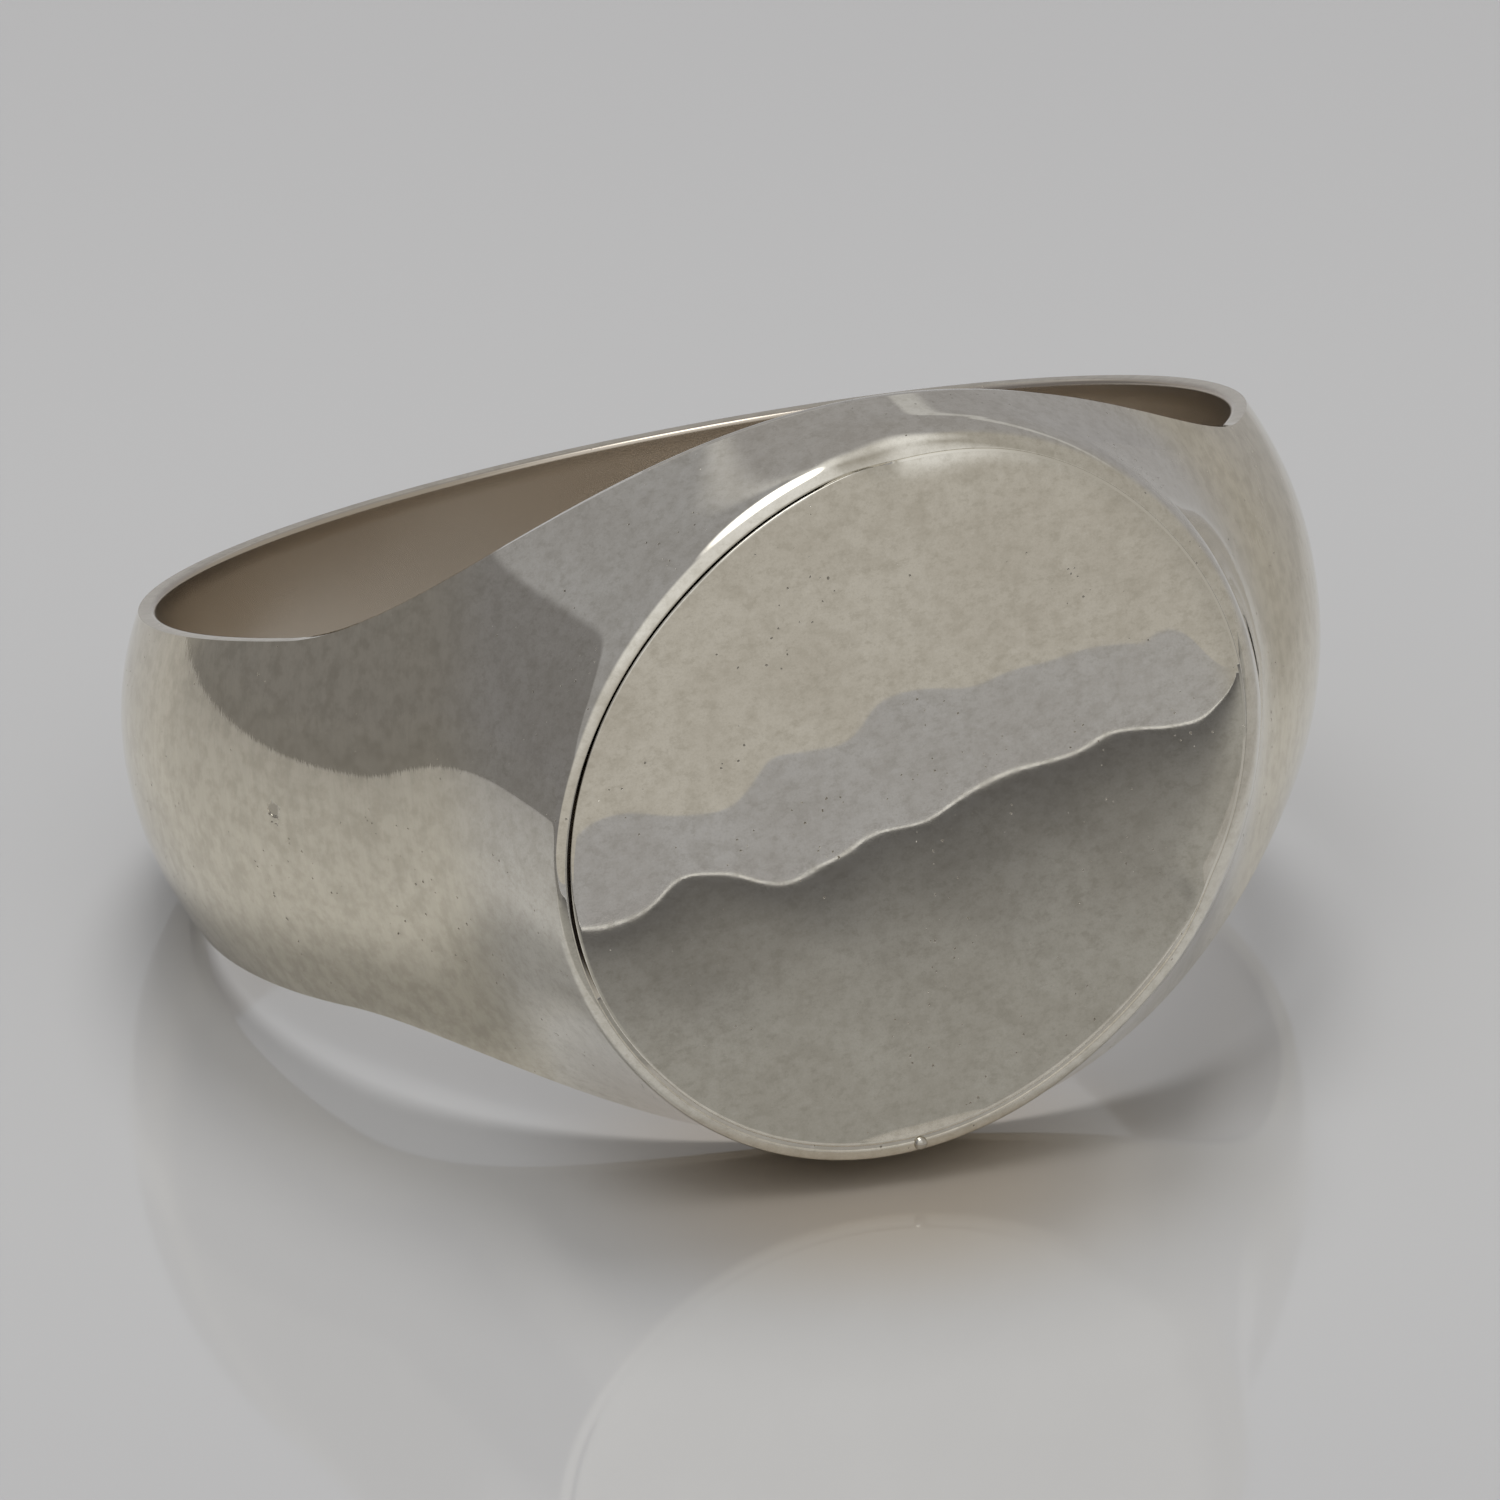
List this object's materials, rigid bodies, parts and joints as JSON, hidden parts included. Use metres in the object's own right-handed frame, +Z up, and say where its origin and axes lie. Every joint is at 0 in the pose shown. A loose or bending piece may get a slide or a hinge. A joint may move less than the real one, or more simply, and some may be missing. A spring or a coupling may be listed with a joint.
{
  "type": "signet ring",
  "caption": "Polished white-metal signet ring with a plain oval face, soldered up from a plate, a head and a tapered shank, lying on its side.",
  "frame": {"origin": "middle of the ring's footprint on the surface that it lies on", "axes": "+Z up, with the ring lying on its side; the face looks along -Y and slightly up, and the finger hole leans back along +Y"},
  "size_m": [0.021, 0.0229, 0.0125],
  "materials": {
    "silver": "polished, with light hand-finishing marks",
    "solder": "polished flush with the ring, slightly greyer"
  },
  "bodies": {
    "root": {"face_plate": "silver", "head_block": "silver", "shank_left": "silver", "shank_right": "silver", "sizing_piece": "silver", "solder_face": "solder", "solder_shoulder_left": "solder", "solder_shoulder_right": "solder", "solder_back_left": "solder", "solder_back_right": "solder"}
  },
  "joints": []
}
